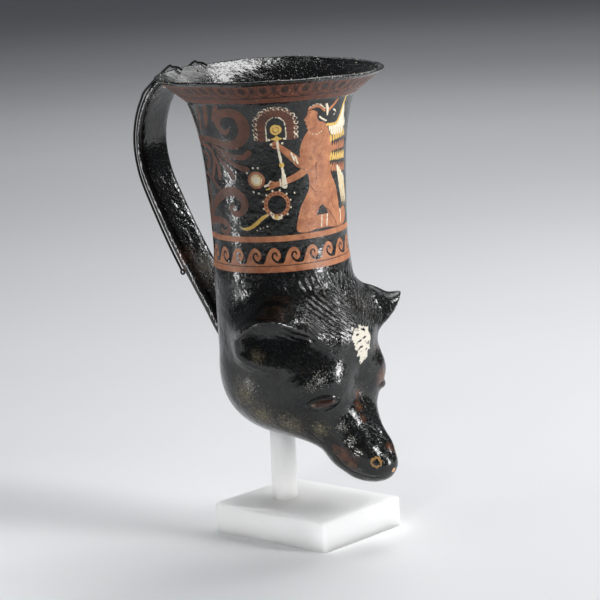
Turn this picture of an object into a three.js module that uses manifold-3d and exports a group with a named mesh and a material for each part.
// A drinking cup in the form of a dog's head, with a painted neck and one strap handle,
// held up on a frosted acrylic rod and block. Millimetres, +Z up, +X towards the snout.
// The origin is the centre of the block's underside.
import * as THREE from 'three';
import { mergeVertices } from 'three/addons/utils/BufferGeometryUtils.js';
import Module from 'manifold-3d';

const wasm = await Module();
wasm.setup();

// Display block and rod
const blockLength = 71.7;
const blockWidth = 59.0;
const blockHeight = 14.9;
const rodDiameter = 12.6;
const rodX = -11.6;
const rodY = -3.1;
const rodBottomGap = 0.3;
const rodTopGap = 0.35;

// The cup's own axis meets the block's top here, leaning a little towards -Y
const cupX = -6.6;
const cupY = 1.3;
const cupLean = 0.04;

// Neck, measured from the block's top up the cup's own axis
const rimHeight = 214.2;
const rimRadius = 56;
const lipWidth = 3.2;
const flareHeight = 13.2;
const neckRadius = 32.7;
const neckTopRadius = 40.4;
const neckWaistHeight = 132;
const bandFootHeight = 120;
const bandFootRadius = 33.4;
const neckWall = 4.2;

// Head
const headWall = 5.0;
const earLength = 36;
const earWidth = 44;
const earHeight = 14;
const earWall = 3.6;
const nearEarRise = 1.7;
const farEarDrop = 3.6;
const muzzleRootRadius = 17.5;
const muzzleTipRadius = 8.4;
const eyeLength = 13.8;
const eyeHeight = 6.4;
const eyeBulge = 3.5;
const headRadius = 34.5;

// Handle
const handleWidth = 20;
const handleBow = 49.7;
const handleTopDrop = 4;
const handleFootHeight = 79;
const handleTopThickness = 5;
const handleFootThickness = 7.5;

// Wire that runs down the handle's outer face to a small ring
const wireDiameter = 1.2;
const wireGap = 0.35;
const wireRingDiameter = 3.4;
const wireEndShare = 0.735;
const farWireEndShare = 0.6;

// Fineness of the faces
const roundSteps = 48;
const neckSteps = 12;
const headSteps = 28;
const snoutCapSteps = 5;
const cavityRoundSteps = 32;
const cavityHeadSteps = 13;

const degree = Math.PI / 180;
const clamp = (value, low, high) => Math.min(Math.max(value, low), high);
const mix = (a, b, t) => a + (b - a) * t;
const ease = (t) => t * t * (3 - 2 * t);

// Soft joins: each blob gives the distance from a point to its surface
function softMin(a, b, blend) {
  const h = clamp(0.5 + 0.5 * (b - a) / blend, 0, 1);
  return mix(b, a, h) - blend * h * (1 - h);
}

function ball(p, centre, radii) {
  let scaled = 0;
  let steep = 0;
  for (let k = 0; k < 3; k += 1) {
    const q = (p[k] - centre[k]) / radii[k];
    scaled += q * q;
    steep += (q / radii[k]) ** 2;
  }
  scaled = Math.sqrt(scaled);
  return scaled * (scaled - 1) / Math.max(Math.sqrt(steep), 1e-9);
}

function taper(p, from, to, fromRadius, toRadius) {
  const along = to.map((value, k) => value - from[k]);
  const offset = p.map((value, k) => value - from[k]);
  const length2 = along.reduce((sum, value) => sum + value * value, 0);
  const dot = along.reduce((sum, value, k) => sum + value * offset[k], 0);
  const h = clamp(dot / length2, 0, 1);
  const away = offset.map((value, k) => value - h * along[k]);
  return Math.hypot(...away) - mix(fromRadius, toRadius, h);
}

// The head keeps its proportions: its masses are drawn for a head of drawnHeadHeight
const drawnHeadHeight = 120;
const own = (...values) => values.map((value) => value * bandFootHeight / drawnHeadHeight);

// The head's masses, in the order they are joined; y is taken on both sides
const earMoundTaper = own(16, 9.5);
const cheekTaper = own(14, 7.5);
const muzzleTaper = [muzzleRootRadius, muzzleTipRadius];
const headMasses = [
  { shape: (p) => taper(p, own(0, 0, 124), own(1, 0, 74), bandFootRadius, headRadius), blend: 1 },
  { shape: (p) => ball(p, own(20, 0, 83), own(27, 30, 25)), blend: 12 },
  { shape: (p) => ball(p, own(8, 0, 96), own(30, 34, 20)), blend: 8 },
  { shape: (p) => ball(p, own(2, 0, 62), own(33, 33, 27)), blend: 8 },
  { shape: (p) => ball(p, own(18, 14, 60), own(20, 14, 16)), blend: 14 },
  { shape: (p) => taper(p, own(24, 0, 50), own(51.5, 0, 25.8), ...muzzleTaper), blend: 12 },
  { shape: (p) => taper(p, own(20, 10, 56), own(44, 4, 31), ...cheekTaper), blend: 10 },
  { shape: (p) => ball(p, own(42, 5.5, 28.5), own(13, 6.6, 7.6)), blend: 7 },
  { shape: (p) => ball(p, own(33, 14.5, 66), own(10.5, 10, 8)), blend: 12 },
  { shape: (p) => ball(p, own(55.8, 0, 24.6), own(6.2, 6.8, 5.4)), blend: 4 },
  { shape: (p) => ball(p, own(47, 0, 20.6), own(11, 7.5, 4.6)), blend: 5 },
];
const earMound = { shape: (p) => taper(p, own(12, 17, 90.5), own(24, 36, 96), ...earMoundTaper), blend: 12 };

// Directions of a form's own axes: along it, across it and up from it
function ownAxes(along, across) {
  const first = new THREE.Vector3(...along).normalize();
  const up = new THREE.Vector3(...across).cross(first).normalize();
  const second = new THREE.Vector3().crossVectors(first, up);
  return [first, second, up].map((axis) => axis.toArray());
}

// The ears were set by hand, the one on the +Y side lower
const earShift = (y) => mix(nearEarRise, -farEarDrop, clamp(0.5 + y / 60, 0, 1));

const dot = (a, b) => a[0] * b[0] + a[1] * b[1] + a[2] * b[2];
const minus = (a, b) => a.map((value, k) => value - b[k]);

// An eye is a low almond between the brow and the muzzle's root
const eyeCentre = own(38.6, 21.3, 57.8);
const eyeAxes = ownAxes([0.695, -0.71, 0.10], [0.71, 0.695, 0]);
const eyeRadii = [0.5 * eyeLength, eyeBulge, 0.5 * eyeHeight];

function headDistance(p, inset) {
  const q = [p[0], Math.abs(p[1]), p[2]];
  let distance = 1e3;
  for (const mass of headMasses) {
    distance = softMin(distance, mass.shape(q), mass.blend);
  }
  if (inset > 0) return distance + inset;
  const shifted = [q[0], q[1], q[2] - earShift(p[1])];
  distance = softMin(distance, earMound.shape(shifted), earMound.blend);
  const eyeLocal = eyeAxes.map((axis) => dot(minus(q, eyeCentre), axis));
  return softMin(distance, ball(eyeLocal, [0, 0, 0], eyeRadii), 0.8);
}

// The bent line through the head: x, z and the tilt of the cross section in degrees
const headLine = [
  [0, 120, 0], [0, 108, 2], [2, 96, 7], [6, 83, 15], [12, 69, 26], [20, 56, 38],
  [29, 44.5, 47], [38, 36, 51], [47, 29, 54], [54, 24.5, 56], [60, 21, 57],
].map(([x, z, tilt]) => new THREE.Vector3(...own(x, z), tilt));
const headCurve = new THREE.CatmullRomCurve3(headLine, false, 'catmullrom', 0.5);

const farReach = own(75)[0];

function reach(origin, direction, start, inset) {
  let s = start;
  for (let step = 0; step < 70; step += 1) {
    const p = origin.map((value, k) => value + direction[k] * s);
    s = Math.max(s - 0.9 * clamp(headDistance(p, inset), -6, 6), 0.4);
  }
  return origin.map((value, k) => value + direction[k] * s);
}

// Rings of the head from the neck's foot to the snout, with the last point at the snout's tip
function headRings(steps, sides, inset, lastShare) {
  const rings = [];
  const angles = Array.from({ length: sides }, (_, j) => 2 * Math.PI * j / sides);
  let last;
  for (let i = 1; i <= steps; i += 1) {
    const at = headCurve.getPoint(lastShare * i / steps);
    const tilt = at.z * degree;
    const origin = [at.x, 0, at.y];
    const blend = ease(clamp((bandFootHeight - at.y) / 14, 0, 1));
    const round = bandFootRadius - inset + (bandFootHeight - at.y) * 0.1;
    const directions = angles.map((a) => (
      [Math.cos(a) * Math.cos(tilt), Math.sin(a), Math.cos(a) * Math.sin(tilt)]));
    rings.push(directions.map((direction) => {
      const found = reach(origin, direction, farReach, inset);
      return found.map((value, k) => mix(origin[k] + direction[k] * round, value, blend));
    }));
    last = { origin, directions, ahead: [Math.sin(tilt), 0, -Math.cos(tilt)] };
  }
  for (let i = 1; i < snoutCapSteps; i += 1) {
    const turn = 0.5 * Math.PI * i / snoutCapSteps;
    rings.push(last.directions.map((direction) => reach(
      last.origin,
      direction.map((value, k) => value * Math.cos(turn) + last.ahead[k] * Math.sin(turn)),
      20, inset)));
  }
  return { rings, tip: reach(last.origin, last.ahead, 16, inset) };
}

// A closed skin over rings of points, with a single point closing each end
function skin(rings, firstPoint, lastPoint) {
  const sides = rings[0].length;
  const places = [firstPoint, ...rings.flat(), lastPoint];
  const faces = [];
  const at = (i, j) => 1 + i * sides + (j % sides);
  for (let j = 0; j < sides; j += 1) {
    faces.push([0, at(0, j), at(0, j + 1)]);
    faces.push([places.length - 1, at(rings.length - 1, j + 1), at(rings.length - 1, j)]);
    for (let i = 0; i + 1 < rings.length; i += 1) {
      faces.push([at(i, j), at(i + 1, j), at(i + 1, j + 1)]);
      faces.push([at(i, j), at(i + 1, j + 1), at(i, j + 1)]);
    }
  }
  const geometry = new THREE.BufferGeometry();
  geometry.setAttribute('position', new THREE.Float32BufferAttribute(places.flat(), 3));
  geometry.setIndex(faces.flat());
  return geometry;
}

function solidOf(geometry) {
  const bare = geometry.clone();
  bare.deleteAttribute('normal');
  bare.deleteAttribute('uv');
  const merged = mergeVertices(bare, 1e-4);
  const solid = new wasm.Manifold(new wasm.Mesh({
    numProp: 3,
    vertProperties: Float32Array.from(merged.attributes.position.array),
    triVerts: Uint32Array.from(merged.index.array),
  }));
  return solid;
}

function geometryOf(solid) {
  const mesh = solid.getMesh();
  const geometry = new THREE.BufferGeometry();
  geometry.setAttribute('position', new THREE.BufferAttribute(mesh.vertProperties, 3));
  geometry.setIndex(new THREE.BufferAttribute(mesh.triVerts, 1));
  geometry.computeVertexNormals();
  return geometry;
}

// The neck's outer radius: a slim waist that opens like a trumpet under the rim
function neckRadiusAt(z) {
  const flareFoot = rimHeight - flareHeight;
  if (z < neckWaistHeight) {
    const share = (neckWaistHeight - z) / (neckWaistHeight - bandFootHeight);
    return mix(neckRadius, bandFootRadius, share ** 2);
  }
  if (z < flareFoot) {
    const share = (z - neckWaistHeight) / (flareFoot - neckWaistHeight);
    return mix(neckRadius, neckTopRadius, 0.25 * share + 0.75 * share ** 4);
  }
  const share = (z - flareFoot) / flareHeight;
  return mix(neckTopRadius, rimRadius, share ** 1.15);
}

function levelRing(radius, z, sides) {
  return Array.from({ length: sides }, (_, j) => {
    const a = 2 * Math.PI * j / sides;
    return [radius * Math.cos(a), radius * Math.sin(a), z];
  });
}

// Heights are closer together where the neck flares
function neckHeights(steps, top) {
  return Array.from({ length: steps + 1 }, (_, i) => (
    mix(top, bandFootHeight, (i / steps) ** 1.35)));
}

function cupSkin() {
  const levels = neckHeights(neckSteps, rimHeight - 1.2);
  const neck = levels.map((z) => levelRing(neckRadiusAt(z), z, roundSteps));
  const lip = levelRing(rimRadius - 1.0, rimHeight, roundSteps);
  const head = headRings(headSteps, roundSteps, 0, 1);
  return skin([lip, ...neck, ...head.rings], [0, 0, rimHeight], head.tip);
}

const mouthRadius = rimRadius - lipWidth;

function cavitySkin() {
  const levels = neckHeights(8, rimHeight - 3);
  const inner = levels.map((z) => levelRing(neckRadiusAt(z) - neckWall, z, cavityRoundSteps));
  const mouth = [rimHeight + 3, rimHeight].map((z) => levelRing(mouthRadius, z, cavityRoundSteps));
  const head = headRings(cavityHeadSteps, cavityRoundSteps, headWall, 0.86);
  return skin([...mouth, ...inner, ...head.rings], [0, 0, rimHeight + 3], head.tip);
}

// An ear is a pointed hood whose crown runs straight to the tip; its bowl opens downwards
const earRoot = own(14, 21, 84);
const earAxes = ownAxes([0.53, 0.845, 0.06], [0.85, -0.53, 0]);
const earTipHalfWidth = 1;
const earTipHeight = 1.2;
const bowlFrom = own(15)[0];
const bowlDepth = own(5)[0];
const bowlSlope = 0.45;
const roundness = 0.8;

function earSection(along) {
  const t = clamp(along / earLength, 0, 1);
  const halfWidth = (0.5 * earWidth - earTipHalfWidth) * (1 - t ** 2.2) ** 0.75 + earTipHalfWidth;
  const height = earHeight * (1 - t ** 2) ** roundness + earTipHeight;
  const middle = earHeight + earTipHeight - height;
  return { halfWidth, height, middle, wall: earWall * (1 - 0.4 * t) };
}

function earPlace(side, along, across, level) {
  const p = new THREE.Vector3(...earRoot);
  [along, across, level].forEach((value, k) => {
    p.addScaledVector(new THREE.Vector3(...earAxes[k]), value);
  });
  return [p.x, side * p.y, p.z + earShift(side * p.y)];
}

const rounded = (value) => Math.sign(value) * Math.abs(value) ** roundness;

function earSkin(side) {
  const sides = 20;
  const shares = [0, 0.2, 0.4, 0.55, 0.68, 0.79, 0.88, 0.95, 0.99];
  const rings = shares.map((share) => {
    const { halfWidth, height, middle } = earSection(share * earLength);
    return Array.from({ length: sides }, (_, j) => {
      const a = 2 * Math.PI * j / sides;
      const across = halfWidth * rounded(Math.cos(a));
      return earPlace(side, share * earLength, across, middle + height * rounded(Math.sin(a)));
    });
  });
  const { middle } = earSection(earLength);
  return skin(rings, earPlace(side, 0, 0, 0), earPlace(side, earLength + 1, 0, middle));
}

// The bowl's back wall is rounded and leans outwards as it goes down
function bowlSkin(side) {
  const half = 10;
  const reachDown = 34;
  const backShares = [0.35, 0.75, 0.95];
  const alongShares = [0, 0.25, 0.5, 0.7, 0.85, 0.95, 1.1];
  const stations = [
    ...backShares.map((share) => [bowlFrom - bowlDepth * Math.sqrt(1 - share ** 2), share]),
    ...alongShares.map((share) => [mix(bowlFrom, earLength, share), 1]),
  ];
  const rings = stations.map(([along, share]) => {
    const { halfWidth, height, middle, wall } = earSection(along);
    const inWidth = share * Math.max(halfWidth - wall, 0.5);
    const inHeight = share * Math.max(height - wall, 0.5);
    const top = middle - 1;
    const arch = Array.from({ length: half + 1 }, (_, j) => {
      const a = Math.PI * j / half;
      return earPlace(side, along, inWidth * rounded(Math.cos(a)), top + inHeight * rounded(Math.sin(a)));
    });
    const low = [-1, 1].map((edge) => (
      earPlace(side, along + bowlSlope * reachDown, edge * inWidth, top - reachDown)));
    return [...arch, ...low];
  });
  const first = earPlace(side, bowlFrom - bowlDepth, 0, earSection(bowlFrom - bowlDepth).middle - 1);
  const last = earPlace(side, 1.1 * earLength, 0, earSection(earLength).middle - 1);
  return skin(rings, first, last);
}

// Centre line of the handle in the cup's middle plane: it leaves the flare under the lip,
// then bows out from the neck, given as shares of the bow and of the handle's own height
const handleTop = rimHeight - handleTopDrop;
const handleHeightAt = (share) => mix(handleFootHeight, handleTop, share);
const handleBowShares = [
  [0.70, 0.967], [0.903, 0.873], [1, 0.755], [0.968, 0.633], [0.835, 0.517],
  [0.602, 0.352], [0.348, 0.2], [0.119, 0.072], [-0.044, 0],
];
const handleLine = [
  [rimRadius - 9, handleHeightAt(0.987)],
  [rimRadius + 1, handleTop],
  ...handleBowShares.map(([out, up]) => [neckRadius + handleBow * out, handleHeightAt(up)]),
].map(([out, z]) => new THREE.Vector3(-out, 0, z));
const handleCurve = new THREE.CatmullRomCurve3(handleLine, false, 'centripetal');

function handleFrame(t) {
  const at = handleCurve.getPointAt(t);
  const along = handleCurve.getTangentAt(t);
  return { at, outward: new THREE.Vector3(along.z, 0, -along.x) };
}

function handleThickness(t) {
  return mix(handleTopThickness, handleFootThickness, ease(clamp((t - 0.25) / 0.6, 0, 1)));
}

function handleSkin() {
  const steps = 24;
  const sides = 14;
  const rings = [];
  for (let i = 0; i <= steps; i += 1) {
    const t = i / steps;
    const { at, outward } = handleFrame(t);
    const flare = 1 + 0.22 * ease(clamp((0.1 - t) / 0.1, 0, 1)) + 0.18 * ease(clamp((t - 0.86) / 0.14, 0, 1));
    const ring = [];
    for (let j = 0; j < sides; j += 1) {
      const a = 2 * Math.PI * j / sides;
      const y = 0.5 * handleWidth * flare * Math.sign(Math.cos(a)) * Math.abs(Math.cos(a)) ** 0.45;
      const n = 0.5 * handleThickness(t) * Math.sign(Math.sin(a)) * Math.abs(Math.sin(a)) ** 0.7;
      ring.push([at.x + outward.x * n, y, at.z + outward.z * n]);
    }
    rings.push(ring);
  }
  const first = handleFrame(0).at;
  const last = handleFrame(1).at;
  return skin(rings, [first.x, 0, first.z], [last.x, 0, last.z]);
}

function faceOutwards(geometry) {
  const { array } = geometry.attributes.position;
  const index = geometry.index.array;
  let volume = 0;
  for (let i = 0; i < index.length; i += 3) {
    const [a, b, c] = [0, 1, 2].map((k) => new THREE.Vector3().fromArray(array, 3 * index[i + k]));
    volume += a.dot(b.cross(c));
  }
  if (volume < 0) {
    for (let i = 0; i < index.length; i += 3) {
      [index[i], index[i + 1]] = [index[i + 1], index[i]];
    }
  }
  return geometry;
}

// A wire hooked over the lip that runs down one edge of the handle; the near one ends in a ring
function wireSkin(side, withRing) {
  const edgeShare = 0.9;
  const edgeFall = 0.86;
  const clear = wireGap + 0.5 * wireDiameter;
  const y = side * 0.5 * edgeShare * handleWidth;
  const lipTop = rimHeight + clear;
  const hook = [
    [mouthRadius - 2.6, lipTop - 0.7],
    [mouthRadius - 0.2, lipTop + 0.3],
    [rimRadius, lipTop + 0.4],
    [rimRadius + 3.6, lipTop + 0.2],
  ].map(([radius, z]) => new THREE.Vector3(-Math.sqrt(radius ** 2 - y ** 2), y, z));
  const onHandle = Array.from({ length: 16 }, (_, i) => {
    const t = mix(0.17, withRing ? wireEndShare : farWireEndShare, i / 15);
    const { at, outward } = handleFrame(t);
    const off = 0.5 * edgeFall * handleThickness(t) + clear;
    return new THREE.Vector3(at.x + outward.x * off, y, at.z + outward.z * off);
  });
  const points = [...hook, ...onHandle];
  const section = new THREE.Shape();
  section.absarc(0, 0, 0.5 * wireDiameter, 0, 2 * Math.PI);
  const wire = solidOf(new THREE.ExtrudeGeometry(section, {
    steps: 34,
    curveSegments: 4,
    bevelEnabled: false,
    extrudePath: new THREE.CatmullRomCurve3(points, false, 'centripetal'),
  }));
  if (!withRing) return geometryOf(wire);
  const end = points[points.length - 1];
  const down = end.clone().sub(points[points.length - 2]).normalize();
  const middle = end.clone().addScaledVector(down, 0.5 * wireRingDiameter - 0.2);
  const ringRadius = 0.5 * (wireRingDiameter - wireDiameter);
  const ring = new THREE.TorusGeometry(ringRadius, 0.42 * wireDiameter, 6, 14);
  ring.rotateX(90 * degree);
  ring.translate(middle.x, middle.y, middle.z);
  return geometryOf(wire.add(solidOf(ring)));
}

const outer = solidOf(faceOutwards(cupSkin()));
const cavity = solidOf(faceOutwards(cavitySkin()));
const handle = solidOf(faceOutwards(handleSkin()));
const ears = [1, -1].map((side) => solidOf(faceOutwards(earSkin(side))));
const bowls = [1, -1].map((side) => solidOf(faceOutwards(bowlSkin(side))));
const eared = ears.reduce((all, ear) => all.add(ear), outer.add(handle));
const opened = bowls.reduce((all, bowl) => all.subtract(bowl), eared);
const cup = opened.subtract(cavity);

// Rod, drawn up into the jaw and then cut to it with a small gap
const rodHeight = 0.4 * bandFootHeight;
const rodGeometry = new THREE.CylinderGeometry(0.5 * rodDiameter, 0.5 * rodDiameter, rodHeight, 32);
rodGeometry.rotateX(90 * degree);
rodGeometry.translate(rodX, rodY, blockHeight + rodBottomGap + 0.5 * rodHeight);
const jaw = new THREE.Matrix4().makeRotationX(cupLean);
jaw.setPosition(cupX, cupY, blockHeight - rodTopGap);
const lowered = outer.transform(jaw.toArray());
const rod = solidOf(rodGeometry).subtract(lowered);

const glaze = new THREE.MeshStandardMaterial({ color: 0x1b1d1f, roughness: 0.25, metalness: 0 });
const acrylic = new THREE.MeshStandardMaterial({ color: 0xe4e6e2, roughness: 0.55, metalness: 0 });
const wireBlack = new THREE.MeshStandardMaterial({ color: 0x101010, roughness: 0.5, metalness: 0.3 });

function named(name, geometry, material) {
  const mesh = new THREE.Mesh(geometry, material);
  mesh.name = name;
  return mesh;
}

const object = new THREE.Group();

const base = named('mount_base', new THREE.BoxGeometry(blockLength, blockWidth, blockHeight), acrylic);
base.position.z = 0.5 * blockHeight;
object.add(base);
object.add(named('mount_rod', geometryOf(rod), acrylic));

const leaning = new THREE.Group();
leaning.position.set(cupX, cupY, blockHeight);
leaning.rotation.x = cupLean;
leaning.add(named('rhyton_vessel', geometryOf(cup), glaze));
leaning.add(named('display_wire_near', wireSkin(-1, true), wireBlack));
leaning.add(named('display_wire_far', wireSkin(1, false), wireBlack));
object.add(leaning);

export default object;
